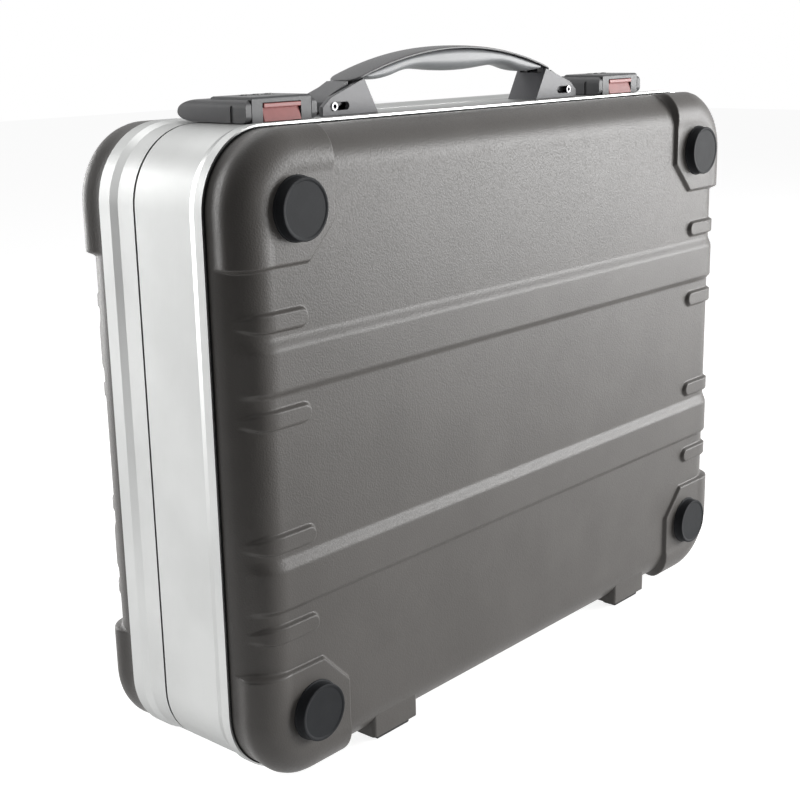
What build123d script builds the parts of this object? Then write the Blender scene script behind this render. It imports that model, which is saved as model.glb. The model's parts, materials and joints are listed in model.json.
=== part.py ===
"""Transport case: two plastic shells in aluminium frame halves, hinged along the bottom edge.

Millimetres, +Z up, front face towards -Y. The origin is on the floor, under the middle of the case.
"""
import os
from math import atan2, degrees

from build123d import *

os.makedirs("parts", exist_ok=True)

# Frame halves: outside size seen from the front, and sizes along the depth
case_width = 490.0
case_height = 366.0
corner_radius = 44.0
frame_depth = 84.0
parting_y = 13.5
parting_gap = 1.5
frame_lift = 3.5
frame_wall = 2.0
channel_depth = 1.2
front_band_width = 6.0
front_slope_width = 4.5
lid_deck_width = 13.7
rear_slope_width = 5.7
rim_depth = 10.5
flange_thickness = 2.0
flange_reach = 12.5
rib_wall = 1.4
rib_depth = 4.0

# Plastic shells
shell_inset = 4.5
shell_rise = 24.0
shell_wall = 2.5
shell_round = 22.0
shell_lip_depth = 2.5
raise_height = 2.5
seal_recess = 1.0

# Raised bands, rib pads and corner pads; band and rib heights are measured from the middle of the face
bands = ((43.4, 47.6, 68.0, 76.0), (-77.5, -73.5, -53.0, -45.0))
rib_heights = (84.0, 32.0, -37.0, -89.0)
rib_width = 10.0
rib_length = 48.0
pad_reach = 70.5
pad_chamfer = 20.0

# Bumpers and feet
bumper_inset = 42.0
bumper_radius = 17.75
bumper_height = 6.5
bumper_edge = 2.0
bumper_ring_radius = 12.0
bumper_ring_width = 1.2
bumper_ring_depth = 0.6
bumper_stud_radius = 4.0
bumper_stud_length = 4.0
foot_inset = 114.0
foot_setback = 2.0
foot_width = 40.0
foot_depth = 16.0
foot_bottom = 4.0
foot_rise = 22.0
foot_edge = 2.5
foot_pad_margin = 2.5
foot_pad_width = 29.0
foot_pad_edge = 1.0

# Parting gasket
gasket_width = 2.2
gasket_socket = 2.0

# Hinges on the bottom edge
hinge_inset = 125.0
hinge_length = 80.0
hinge_knuckles = 5
knuckle_gap = 0.4
knuckle_radius = 2.75
hinge_pin_radius = 1.5
running_fit = 0.05
leaf_thickness = 1.5
leaf_reach = 13.4
leaf_clearance = 0.45
relief_clearance = 0.4

# Rivets through the frame
rivet_radius = 2.0
rivet_head_radius = 2.6
rivet_head = 1.2
rivet_inset = 9.8
rivet_end_gap = 6.0
rivet_row = 4
rivet_side_middle = 40.0
rivet_side_pitch = 80.0
hinge_rivet_radius = 1.6
hinge_rivet_head_radius = 2.8
hinge_rivet_head = 0.9
hinge_rivet_pitch = 30.0
hinge_rivet_offset = 9.2

# Lid stays: both pivots and the elbow make a rhombus with the hinge line
stay_half_spread = 10.0
stay_rise = 55.0
stay_width = 9.0
stay_thickness = 2.0
stay_gap = 0.4
stay_stud_radius = 2.5
stay_head_rim = 0.6
stay_wall_gap = 0.5

# Latches, measured up from the deck and along the depth from the parting line
latch_inset = 77.0
latch_front_reach = 37.5
latch_back_reach = 4.5
latch_body_half = 22.4
latch_body_height = 14.0
latch_edge = 1.6
hasp_half = 26.8
hasp_arm_gap = 0.4
hasp_height = 12.5
hasp_lift = 0.4
hasp_nose = 3.5
hasp_round = 4.5
hasp_skin = 1.0
hasp_pin_radius = 1.5
hasp_pin_depth = 4.5
hasp_back_gap = 2.0
hasp_reach = 18.5
hasp_tip_z = 5.4
hasp_tail = 15.0
hasp_hollow_top = 5.0
hasp_lip_width = 4.8
hasp_lip_bottom = 2.4
hasp_slot_setback = 11.2
hasp_slot_width = 2.6
hasp_slot_depth = 0.6
hasp_slot_top = 9.6
keeper_half = 18.0
keeper_start = 2.5
keeper_gap = 1.2
keeper_plate = 1.0
keeper_bar = 2.0
keeper_bar_width = 2.0

# Push buttons
button_half = 14.1
button_bottom = 0.6
button_top = 10.4
button_proud = 0.6
button_lip = 2.2
button_lip_height = 2.5
button_depth = 7.5
button_stroke_room = 3.5
button_gap = 0.3

# Number wheels
dial_count = 3
dial_pitch = 9.0
dial_width = 5.0
dial_radius = 6.3
dial_setback = 13.0
dial_z = 8.4
dial_gap = 0.3
dial_axle_radius = 1.2
dial_axle_half = 17.0

# Carrying handle and its brackets, measured up from the deck
handle_mid_y = -2.3
bracket_depth = 23.8
cheek_thickness = 3.0
cheek_length = 47.6
cheek_lean = 11.6
cheek_peak_z = 20.4
cheek_nose = 7.5
cheek_slope_z = 10.7
cheek_end_z = 5.4
cheek_end_lean = 0.4
bracket_floor = 1.6
bracket_floor_length = 19.0
web_top = 17.5
web_thickness = 1.5
slot_travel = 10.3
slot_z = 5.3
slot_end_wall = 9.8
pin_clearance = 0.3
tube_radius = 1.9
tube_bore = 1.3
tube_rim_radius = 2.5
tube_rim = 0.5
tube_rim_gap = 0.15

handle_gap = 14.2
strap_top = 37.2
strap_end_top = 19.5
strap_thickness = 1.9
strap_corner = 10.0
link_pivot_inset = 6.5
link_pivot_z = 15.5
link_reach = 22.7
link_pin_radius = 1.5
link_eye_radius = 3.0
link_boss_radius = 3.9
link_crown = 0.6
link_neck = 7.6
link_side_gap = 0.3
lug_width = 4.4
lug_gap = 0.4
grip_end_gap = 13.0
grip_bulge = 21.8
grip_waist = 24.0
grip_waist_inset = 46.0
grip_heel = 18.9
grip_heel_inset = 14.0
grip_end = 20.4
grip_inset = 1.5

# Heights and places that follow from the sizes above
half_width = case_width / 2
half_height = case_height / 2
middle_z = frame_lift + half_height
deck_z = frame_lift + case_height - channel_depth
hinge_z = frame_lift + channel_depth
frame_back_y = frame_depth / 2
frame_front_y = -frame_back_y
front_band_back_y = frame_front_y + front_band_width
deck_front_y = front_band_back_y + front_slope_width
deck_back_y = parting_y + lid_deck_width
rear_band_front_y = deck_back_y + rear_slope_width
base_edge_y = parting_y - parting_gap / 2
lid_edge_y = parting_y + parting_gap / 2
frame_inner = channel_depth + frame_wall
gasket_outer = frame_inner + rib_wall
gasket_inner = gasket_outer + gasket_width
rib_reach = gasket_inner + rib_wall
shell_back = frame_back_y - rim_depth
shell_face_y = frame_back_y + shell_rise
raised_y = shell_face_y + raise_height
bumper_face_y = raised_y + bumper_height
bumper_x = half_width - bumper_inset
bumper_z = half_height - bumper_inset
foot_x = half_width - foot_inset
foot_middle_y = shell_face_y - foot_setback - foot_depth / 2
hinge_x = half_width - hinge_inset
latch_x = half_width - latch_inset
latch_front = parting_y - latch_front_reach
latch_back = parting_y - latch_back_reach
hasp_pivot_y = latch_front + hasp_nose
hasp_pivot_z = hasp_lift + hasp_nose
hasp_tip_y = parting_y + hasp_reach
hasp_tail_y = hasp_tip_y - hasp_tail
hasp_lip_front = hasp_tip_y - hasp_lip_width
hasp_arm_in = latch_body_half + hasp_arm_gap
hasp_tail_front = latch_back + hasp_back_gap
keeper_front = parting_y + keeper_start
keeper_back = hasp_lip_front - keeper_gap
button_front = latch_front - button_proud
button_back = latch_front + button_depth
button_pocket_back = button_back + button_stroke_room
dial_y = latch_back - dial_setback
bracket_front = handle_mid_y - bracket_depth / 2
bracket_back = handle_mid_y + bracket_depth / 2
cheek_end_x = latch_x - hasp_half - handle_gap
slot_outer_x = cheek_end_x - slot_end_wall
slot_inner_x = slot_outer_x - slot_travel
link_pivot_x = slot_outer_x - link_reach
strap_half = link_pivot_x + link_pivot_inset
grip_half = strap_half - grip_end_gap
grip_heel_x = grip_half - grip_heel_inset
grip_waist_x = grip_half - grip_waist_inset
cheek_foot_x = cheek_end_x - cheek_length
cheek_peak_x = cheek_foot_x + cheek_lean
cheek_slope_x = cheek_end_x - cheek_nose
strap_bottom = strap_top - strap_thickness
strap_middle_z = strap_top - strap_thickness / 2
strap_end_bottom = strap_end_top - strap_thickness
lug_inner_x = link_pivot_x - link_eye_radius
lug_outer_x = link_pivot_x + link_eye_radius
cheek_in_front = bracket_front + cheek_thickness
cheek_in_back = bracket_back - cheek_thickness
link_half = bracket_depth / 2 - cheek_thickness - link_side_gap


def facing(y):
    """Plane at depth y that looks to the front, with X across and Z up."""
    return Plane.XZ.offset(-y)


def across(x):
    """Plane at x that looks to +X, with Y across and Z up."""
    return Plane.YZ.offset(x)


def outline(inset):
    """Rounded outline of the case seen from the front, moved in by inset."""
    with Locations((0, middle_z)):
        RectangleRounded(case_width - 2 * inset, case_height - 2 * inset, corner_radius - inset)


def ring(front, back, outer, inner, mode=Mode.ADD):
    """Closed ring between two insets, from front to back along the depth."""
    with BuildSketch(facing(back)) as section:
        outline(outer)
        with Locations((0, middle_z)):
            RectangleRounded(case_width - 2 * inner, case_height - 2 * inner,
                             corner_radius - inner, mode=Mode.SUBTRACT)
    extrude(section.sketch, amount=back - front, mode=mode)


def slab(front, back, inset, mode=Mode.ADD):
    """Filled outline from front to back along the depth."""
    with BuildSketch(facing(back)) as section:
        outline(inset)
    extrude(section.sketch, amount=back - front, mode=mode)


def finish(builder, label):
    """Name a finished piece and write it."""
    builder.part.label = label
    export_step(builder.part, f"parts/{label}.step")


def flange_rivet_places():
    """Rivet centres round the shell flange, seen from the front."""
    top = half_height - rivet_inset
    side = half_width - rivet_inset
    row_end = half_width - corner_radius - rivet_end_gap
    row = [row_end * (2 * i / (rivet_row - 1) - 1) for i in range(rivet_row)]
    column = [rivet_side_middle + i * rivet_side_pitch for i in (-1, 0, 1)]
    places = [(x, middle_z + s * top) for x in row for s in (-1, 1)]
    places += [(s * side, middle_z + z) for z in column for s in (-1, 1)]
    return places


def hinge_rivet_places(leaf_side):
    """Rivet centres on the hinge leaves, seen from below."""
    y = parting_y + leaf_side * hinge_rivet_offset
    steps = (-hinge_rivet_pitch, 0.0, hinge_rivet_pitch)
    return [(s * hinge_x + step, y) for s in (-1, 1) for step in steps]


def hinge_relief():
    """Room for the hinge knuckles along the bottom edge."""
    for side in (-1, 1):
        with BuildSketch(across(side * hinge_x)) as section:
            with Locations((parting_y, hinge_z)):
                Circle(knuckle_radius + relief_clearance)
        extrude(section.sketch, amount=hinge_length / 2 + relief_clearance, both=True, mode=Mode.SUBTRACT)


def frame_holes(leaf_side, flange_y):
    """Holes for the flange rivets, the hinge rivets and the stay studs."""
    with BuildSketch(facing(flange_y)) as section:
        with Locations(*flange_rivet_places()):
            Circle(rivet_radius)
    extrude(section.sketch, amount=flange_thickness, both=True, mode=Mode.SUBTRACT)
    with BuildSketch(Plane.XY.offset(hinge_z - frame_wall)) as section:
        with Locations(*hinge_rivet_places(leaf_side)):
            Circle(hinge_rivet_radius)
    extrude(section.sketch, amount=3 * frame_wall, mode=Mode.SUBTRACT)


# Base frame half: a raised band at its front edge, then the deck up to the parting line
with BuildPart() as base_frame:
    slab(frame_front_y, front_band_back_y, 0)
    with BuildSketch(facing(deck_front_y)):
        outline(channel_depth)
    extrude(amount=front_slope_width, taper=-degrees(atan2(channel_depth, front_slope_width)))
    slab(deck_front_y, base_edge_y, channel_depth)
    slab(frame_front_y, -shell_back, frame_wall, Mode.SUBTRACT)
    slab(-shell_back, base_edge_y, frame_inner, Mode.SUBTRACT)
    ring(-shell_back, -shell_back + flange_thickness, frame_inner, flange_reach)
    ring(base_edge_y - rib_depth, base_edge_y, frame_inner, rib_reach)
    ring(base_edge_y - gasket_socket, base_edge_y, gasket_outer, gasket_inner, Mode.SUBTRACT)
    frame_holes(-1, -shell_back + flange_thickness / 2)
    hinge_relief()
finish(base_frame, "base_frame")

# Lid frame half: the deck goes on behind the parting line and slopes up to the rear band
with BuildPart() as lid_frame:
    slab(lid_edge_y, deck_back_y, channel_depth)
    with BuildSketch(facing(deck_back_y)):
        outline(channel_depth)
    extrude(amount=-rear_slope_width, taper=-degrees(atan2(channel_depth, rear_slope_width)))
    slab(rear_band_front_y, frame_back_y, 0)
    slab(shell_back, frame_back_y, frame_wall, Mode.SUBTRACT)
    slab(lid_edge_y, shell_back, frame_inner, Mode.SUBTRACT)
    ring(lid_edge_y, lid_edge_y + rib_depth, frame_inner, rib_reach)
    ring(shell_back - flange_thickness, shell_back, frame_inner, flange_reach)
    frame_holes(1, shell_back - flange_thickness / 2)
    hinge_relief()
finish(lid_frame, "lid_frame")


def shell_block(side, grow, back):
    """Shell body as a filled block, moved out by grow, from its back edge to its rounded face."""
    depth = shell_face_y + grow - back
    direction = 1 if side < 0 else -1
    with BuildPart() as block:
        with BuildSketch(facing(side * back)):
            outline(shell_inset - grow)
        extrude(amount=direction * depth)
        face_edges = block.faces().sort_by(Axis.Y)[0 if side < 0 else -1].edges()
        fillet(face_edges, shell_round + grow)
    return block.part


def band_prism(side, low, low_top, high_top, high):
    """Raised band across the face and round both sides, with sloped edges."""
    wall = half_width - shell_inset
    outer = wall + raise_height
    face = shell_face_y
    top = raised_y
    with BuildPart() as across_face:
        with BuildSketch(Plane.YZ):
            Polygon((side * face, middle_z + high), (side * top, middle_z + high_top),
                    (side * top, middle_z + low_top), (side * face, middle_z + low),
                    (side * shell_back, middle_z + low), (side * shell_back, middle_z + high),
                    align=None)
        extrude(amount=outer, both=True)
    with BuildPart() as round_sides:
        with BuildSketch(facing(side * shell_back)):
            Polygon((-wall, middle_z + low), (-outer, middle_z + low_top),
                    (-outer, middle_z + high_top), (-wall, middle_z + high),
                    (wall, middle_z + high), (outer, middle_z + high_top),
                    (outer, middle_z + low_top), (wall, middle_z + low), align=None)
        extrude(amount=-side * (top - shell_back))
    return across_face.part & round_sides.part


def rib_prism(side, hand, height):
    """Short rib pad with a round end that wraps one side edge."""
    with BuildPart() as rib:
        with BuildSketch(facing(side * -frame_front_y)):
            with Locations((hand * half_width, middle_z + height)):
                SlotOverall(2 * rib_length, rib_width)
        extrude(amount=-side * (raised_y + frame_front_y))
    return rib.part


def pad_prism(side, hand, up):
    """Corner pad with a chamfered inner corner."""
    outer_x = half_width
    outer_z = half_height
    pad_inner_x = outer_x - pad_reach
    pad_inner_z = outer_z - pad_reach
    with BuildPart() as pad:
        with BuildSketch(facing(side * -frame_front_y)):
            Polygon((hand * outer_x, middle_z + up * pad_inner_z),
                    (hand * (pad_inner_x + pad_chamfer), middle_z + up * pad_inner_z),
                    (hand * pad_inner_x, middle_z + up * (pad_inner_z + pad_chamfer)),
                    (hand * pad_inner_x, middle_z + up * outer_z),
                    (hand * outer_x, middle_z + up * outer_z), align=None)
        extrude(amount=-side * (raised_y + frame_front_y))
    return pad.part


def make_feet(side, label):
    """Moulded feet under the shell, each up against its rounded lower edge."""
    body = shell_block(side, 0, shell_back)
    with BuildPart() as feet:
        with BuildSketch(Plane.XY.offset(foot_bottom)):
            with Locations((-foot_x, side * foot_middle_y), (foot_x, side * foot_middle_y)):
                Rectangle(foot_width, foot_depth)
        extrude(amount=foot_rise)
        fillet(feet.edges().filter_by(Axis.Z), foot_edge)
        add(body, mode=Mode.SUBTRACT)
    finish(feet, label)


def make_shell(side, label):
    """Vacuum formed shell with bands, rib pads, corner pads and a flange at its back."""
    body = shell_block(side, 0, shell_back)
    raised = shell_block(side, raise_height, -frame_front_y)
    hollow = shell_block(side, -shell_wall, shell_back)
    features = [band_prism(side, *heights) for heights in bands]
    for hand in (-1, 1):
        features += [rib_prism(side, hand, height) for height in rib_heights]
        features += [pad_prism(side, hand, up) for up in (-1, 1)]
    with BuildPart() as shell:
        add(body)
        add([raised & feature for feature in features])
        add(hollow, mode=Mode.SUBTRACT)
        front, back = sorted((side * shell_back, side * (shell_back + shell_lip_depth)))
        ring(front, back, shell_inset, flange_reach)
        with BuildSketch(facing(side * shell_back)):
            with Locations(*flange_rivet_places()):
                Circle(rivet_radius)
        extrude(amount=-side * shell_lip_depth, mode=Mode.SUBTRACT)
        with BuildSketch(facing(side * raised_y)):
            with Locations(*[(x * bumper_x, middle_z + z * bumper_z) for x in (-1, 1) for z in (-1, 1)]):
                Circle(bumper_stud_radius)
        extrude(amount=side * 2 * bumper_stud_length, mode=Mode.SUBTRACT)
    finish(shell, label)


for side, name in ((-1, "base"), (1, "lid")):
    make_shell(side, f"{name}_shell")
    make_feet(side, f"{name}_feet")


def make_seal(side, label):
    """Black strip between the frame edge and the shell."""
    edge = frame_back_y - seal_recess
    front, back = sorted((side * shell_back, side * edge))
    with BuildPart() as seal:
        ring(front, back, frame_wall, shell_inset)
    finish(seal, label)


make_seal(-1, "base_shell_seal")
make_seal(1, "lid_shell_seal")

# Gasket in the base rib, closed against the lid rib
with BuildPart() as parting_gasket:
    ring(base_edge_y - gasket_socket, lid_edge_y, gasket_outer, gasket_inner)
finish(parting_gasket, "parting_gasket")


def make_bumper(side, hand, up, label):
    """Round rubber bumper with a ring groove in its face and a stud through the shell."""
    x = hand * bumper_x
    z = middle_z + up * bumper_z
    with BuildPart() as bumper:
        with BuildSketch(facing(side * raised_y)):
            with Locations((x, z)):
                Circle(bumper_radius)
        extrude(amount=-side * bumper_height)
        rim = bumper.faces().sort_by(Axis.Y)[0 if side < 0 else -1].edges()
        fillet(rim, bumper_edge)
        with BuildSketch(facing(side * bumper_face_y)):
            with Locations((x, z)):
                Circle(bumper_ring_radius)
                Circle(bumper_ring_radius - bumper_ring_width, mode=Mode.SUBTRACT)
        extrude(amount=side * bumper_ring_depth, mode=Mode.SUBTRACT)
        with BuildSketch(facing(side * raised_y)):
            with Locations((x, z)):
                Circle(bumper_stud_radius)
        extrude(amount=side * (raise_height + bumper_stud_length))
    finish(bumper, label)


def make_foot_pad(side, hand, label):
    """Rubber pad under a moulded foot, standing on the floor."""
    with BuildPart() as pad:
        with BuildSketch(Plane.XY):
            with Locations((hand * foot_x, side * foot_middle_y)):
                Rectangle(foot_pad_width, foot_depth - 2 * foot_pad_margin)
        extrude(amount=foot_bottom)
        chamfer(pad.faces().sort_by(Axis.Z)[0].edges(), foot_pad_edge)
    finish(pad, label)


for side, half in ((-1, "front"), (1, "rear")):
    for hand, hand_name in ((-1, "left"), (1, "right")):
        make_foot_pad(side, hand, f"{half}_foot_pad_{hand_name}")
        for up, up_name in ((1, "top"), (-1, "bottom")):
            make_bumper(side, hand, up, f"{half}_bumper_{up_name}_{hand_name}")


def make_rivets(side, leaf_side, label):
    """All rivets of one half: round the shell flange and through the hinge leaves."""
    inner_y = shell_back - flange_thickness
    outer_y = shell_back + shell_lip_depth
    with BuildPart() as rivets:
        for start, length, radius in ((inner_y - rivet_head, rivet_head, rivet_head_radius),
                                      (inner_y, outer_y - inner_y, rivet_radius),
                                      (outer_y, rivet_head, rivet_head_radius)):
            with BuildSketch(facing(side * start)):
                with Locations(*flange_rivet_places()):
                    Circle(radius)
            extrude(amount=-side * length)
        leaf_bottom = hinge_z - leaf_thickness
        wall_top = hinge_z + frame_wall
        for start, length, radius in ((leaf_bottom - hinge_rivet_head, hinge_rivet_head,
                                       hinge_rivet_head_radius),
                                      (leaf_bottom, wall_top - leaf_bottom, hinge_rivet_radius),
                                      (wall_top, hinge_rivet_head, hinge_rivet_head_radius)):
            with BuildSketch(Plane.XY.offset(start)):
                with Locations(*hinge_rivet_places(leaf_side)):
                    Circle(radius)
            extrude(amount=length)
    finish(rivets, label)


make_rivets(-1, -1, "base_rivets")
make_rivets(1, 1, "lid_rivets")


def make_leaf(hand, leaf_side, label):
    """Hinge leaf under the frame, with every second knuckle."""
    pitch = hinge_length / hinge_knuckles
    first = 0 if leaf_side < 0 else 1
    own = [hinge_x * hand - hinge_length / 2 + (i + 0.5) * pitch for i in range(first, hinge_knuckles, 2)]
    edge = knuckle_radius + leaf_clearance
    with BuildPart() as leaf:
        with BuildSketch(Plane.XY.offset(hinge_z - leaf_thickness)):
            with Locations((hand * hinge_x, parting_y + leaf_side * (edge + leaf_reach) / 2)):
                Rectangle(hinge_length, leaf_reach - edge)
        extrude(amount=leaf_thickness)
        for x in own:
            with BuildSketch(Plane.XY.offset(hinge_z - leaf_thickness)):
                with Locations((x, parting_y + leaf_side * (edge + hinge_pin_radius) / 2)):
                    Rectangle(pitch - knuckle_gap, edge + 2 * leaf_clearance - hinge_pin_radius)
            extrude(amount=leaf_thickness)
            with BuildSketch(across(x)):
                with Locations((parting_y, hinge_z)):
                    Circle(knuckle_radius)
            extrude(amount=(pitch - knuckle_gap) / 2, both=True)
        with BuildSketch(across(hand * hinge_x)):
            with Locations((parting_y, hinge_z)):
                Circle(hinge_pin_radius + running_fit)
        extrude(amount=hinge_length, both=True, mode=Mode.SUBTRACT)
        with BuildSketch(Plane.XY.offset(hinge_z - leaf_thickness)):
            with Locations(*hinge_rivet_places(leaf_side)):
                Circle(hinge_rivet_radius)
        extrude(amount=leaf_thickness, mode=Mode.SUBTRACT)
    finish(leaf, label)


def make_hinge_pin(hand, label):
    """Pin along one hinge."""
    with BuildPart() as pin:
        with BuildSketch(across(hand * hinge_x)):
            with Locations((parting_y, hinge_z)):
                Circle(hinge_pin_radius)
        extrude(amount=hinge_length / 2, both=True)
    finish(pin, label)


def stay_layer(outer):
    """Span along X of a stay link: the outer one runs by the flange, the inner one beside it."""
    wall_side = half_width - flange_reach - stay_wall_gap
    start = wall_side if outer else wall_side - stay_thickness - stay_gap
    return start - stay_thickness, start


def bar(points, span, hand, radius):
    """Flat link with round ends through two points of the side view."""
    low, high = sorted((hand * span[0], hand * span[1]))
    with BuildSketch(across(low)) as section:
        with BuildLine():
            Line(*points)
        trace(line_width=2 * radius)
        with Locations(*points):
            Circle(radius)
    extrude(section.sketch, amount=high - low)


def stub(point, span, hand, radius, mode=Mode.ADD):
    """Round stub along X at a point of the side view."""
    low, high = sorted((hand * span[0], hand * span[1]))
    with BuildSketch(across(low)) as section:
        with Locations(point):
            Circle(radius)
    extrude(section.sketch, amount=high - low, mode=mode)


base_pivot = (parting_y - stay_half_spread, hinge_z + stay_rise)
lid_pivot = (parting_y + stay_half_spread, hinge_z + stay_rise)
elbow = (parting_y, hinge_z + 2 * stay_rise)


def make_stay_links(hand, hand_name):
    """Two links of one lid stay; the base link carries the elbow stud."""
    inner = stay_layer(False)
    outer = stay_layer(True)
    hole = stay_stud_radius + running_fit
    with BuildPart() as base_link:
        bar((base_pivot, elbow), inner, hand, stay_width / 2)
        stub(base_pivot, inner, hand, hole, Mode.SUBTRACT)
        stub(elbow, (inner[1], outer[1]), hand, stay_stud_radius)
    finish(base_link, f"stay_base_link_{hand_name}")
    with BuildPart() as lid_link:
        bar((lid_pivot, elbow), outer, hand, stay_width / 2)
        stub(lid_pivot, outer, hand, hole, Mode.SUBTRACT)
        stub(elbow, outer, hand, stay_stud_radius + pin_clearance, Mode.SUBTRACT)
    finish(lid_link, f"stay_lid_link_{hand_name}")


def make_stay_studs(pivot, layer, label):
    """Studs on the frame wall that carry the stay links, with a head behind each link."""
    head = stay_stud_radius + stay_head_rim
    with BuildPart() as studs:
        for hand in (-1, 1):
            stub(pivot, (layer[0], half_width - frame_inner), hand, stay_stud_radius)
            stub(pivot, (layer[0] - stay_gap - stay_thickness / 2, layer[0] - stay_gap), hand, head)
            stub(pivot, (layer[0] - stay_gap, layer[0]), hand, stay_stud_radius)
            stub(pivot, (layer[1] + stay_gap, half_width - frame_inner), hand, head)
    finish(studs, label)


make_stay_studs(base_pivot, stay_layer(False), "base_stay_studs")
make_stay_studs(lid_pivot, stay_layer(True), "lid_stay_studs")


def hasp_profile():
    """Side view of a hasp: round nose at the pivot, flat top, long round tail."""
    top = deck_z + hasp_height
    bottom = deck_z + hasp_lift
    tip = deck_z + hasp_tip_z
    with BuildLine() as side_view:
        Line((hasp_pivot_y, bottom), (hasp_tail_y, bottom))
        EllipticalCenterArc((hasp_tail_y, tip), hasp_tail, tip - bottom, -90)
        EllipticalCenterArc((hasp_tail_y, tip), hasp_tail, top - tip, 0)
        Line((hasp_tail_y, top), (hasp_pivot_y, top))
        TangentArc((hasp_pivot_y, top), (latch_front, top - hasp_nose), tangent=(-1, 0))
        Line((latch_front, top - hasp_nose), (latch_front, bottom + hasp_nose))
        TangentArc((latch_front, bottom + hasp_nose), (hasp_pivot_y, bottom), tangent=(0, -1))
    make_face(side_view.edges())


def hasp_bore(hand, reach, radius, mode):
    """Stubs along X at the hasp's pivot, from inside the latch body out to reach."""
    for s in (-1, 1):
        stub((hasp_pivot_y, deck_z + hasp_pivot_z),
             (latch_x + s * (latch_body_half - hasp_pin_depth), latch_x + s * reach), hand, radius, mode)


def make_hasp(hand, label):
    """Hasp with two arms beside the latch body and a hooked tail over the keeper."""
    x = hand * latch_x
    with BuildPart() as hasp:
        with BuildSketch(across(x)):
            hasp_profile()
        extrude(amount=hasp_half, both=True)
        with BuildSketch(facing(latch_front)):
            with Locations((x, deck_z)):
                RectangleRounded(2 * hasp_half, 2 * hasp_height, hasp_round)
        extrude(amount=latch_front - hasp_tip_y, mode=Mode.INTERSECT)
        for front, back, top in ((hasp_tail_front, hasp_lip_front, hasp_hollow_top),
                                 (hasp_lip_front, hasp_tip_y, hasp_lip_bottom)):
            with BuildSketch(Plane.XY.offset(deck_z)):
                with Locations((x, (front + back) / 2)):
                    Rectangle(2 * hasp_arm_in, back - front)
            extrude(amount=top, mode=Mode.SUBTRACT)
        with BuildSketch(Plane.XY.offset(deck_z)):
            with Locations((x, (latch_front + hasp_tail_front) / 2)):
                Rectangle(2 * hasp_arm_in, hasp_tail_front - latch_front)
        extrude(amount=hasp_height, mode=Mode.SUBTRACT)
        for s in (-1, 1):
            with BuildSketch(across(x + s * hasp_half)):
                with Locations((latch_front + hasp_slot_setback, deck_z)):
                    SlotOverall(2 * hasp_slot_top, hasp_slot_width, rotation=90)
            extrude(amount=hasp_slot_depth, both=True, mode=Mode.SUBTRACT)
        hasp_bore(hand, hasp_half - hasp_skin + 2 * running_fit, hasp_pin_radius + running_fit, Mode.SUBTRACT)
    finish(hasp, label)


def dial_places(hand):
    """Centres of the number wheels of one latch along X."""
    middle = (dial_count - 1) / 2
    return [hand * latch_x + (i - middle) * dial_pitch for i in range(dial_count)]


def make_latch_body(hand, label):
    """Latch housing with its button pocket, number wheel slots and bores."""
    x = hand * latch_x
    with BuildPart() as body:
        with BuildSketch(Plane.XY.offset(deck_z)):
            with Locations((x, (latch_front + latch_back) / 2)):
                Rectangle(2 * latch_body_half, latch_back - latch_front)
        extrude(amount=latch_body_height)
        fillet(body.faces().sort_by(Axis.Z)[-1].edges(), latch_edge)
        with BuildSketch(across(x)):
            Polygon((latch_front, deck_z + button_bottom - button_gap),
                    (button_pocket_back, deck_z + button_bottom - button_gap),
                    (button_pocket_back, deck_z + button_top + button_gap),
                    (latch_front, deck_z + button_top + button_gap), align=None)
        extrude(amount=button_half + button_gap, both=True, mode=Mode.SUBTRACT)
        for place in dial_places(hand):
            with BuildSketch(across(place)):
                with Locations((dial_y, deck_z + dial_z)):
                    Circle(dial_radius + dial_gap)
            extrude(amount=dial_width / 2 + dial_gap, both=True, mode=Mode.SUBTRACT)
        with BuildSketch(across(x)):
            with Locations((dial_y, deck_z + dial_z)):
                Circle(dial_axle_radius)
        extrude(amount=dial_axle_half, both=True, mode=Mode.SUBTRACT)
        hasp_bore(hand, latch_body_half, hasp_pin_radius, Mode.SUBTRACT)
    finish(body, label)


def make_button(hand, label):
    """Push button with a lip along its top and a face that slopes in under it."""
    lip_z = deck_z + button_top - button_lip_height
    with BuildPart() as button:
        with BuildSketch(across(hand * latch_x)):
            Polygon((button_back, deck_z + button_bottom), (button_front, deck_z + button_bottom),
                    (button_front + button_lip, lip_z), (button_front, lip_z),
                    (button_front, deck_z + button_top), (button_back, deck_z + button_top), align=None)
        extrude(amount=button_half, both=True)
    finish(button, label)


def make_keeper(hand, label):
    """Keeper plate on the lid frame with a low bar in front of the hasp's hook."""
    x = hand * latch_x
    with BuildPart() as keeper:
        with BuildSketch(Plane.XY.offset(deck_z)):
            with Locations((x, (keeper_front + keeper_back) / 2)):
                Rectangle(2 * keeper_half, keeper_back - keeper_front)
        extrude(amount=keeper_plate)
        with BuildSketch(Plane.XY.offset(deck_z)):
            with Locations((x, keeper_back - keeper_bar_width / 2)):
                Rectangle(2 * keeper_half, keeper_bar_width)
        extrude(amount=keeper_bar)
    finish(keeper, label)


def make_dial(place, label):
    """Number wheel with a running bore."""
    with BuildPart() as dial:
        with BuildSketch(across(place)):
            with Locations((dial_y, deck_z + dial_z)):
                Circle(dial_radius)
                Circle(dial_axle_radius + running_fit, mode=Mode.SUBTRACT)
        extrude(amount=dial_width / 2, both=True)
    finish(dial, label)


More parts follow.
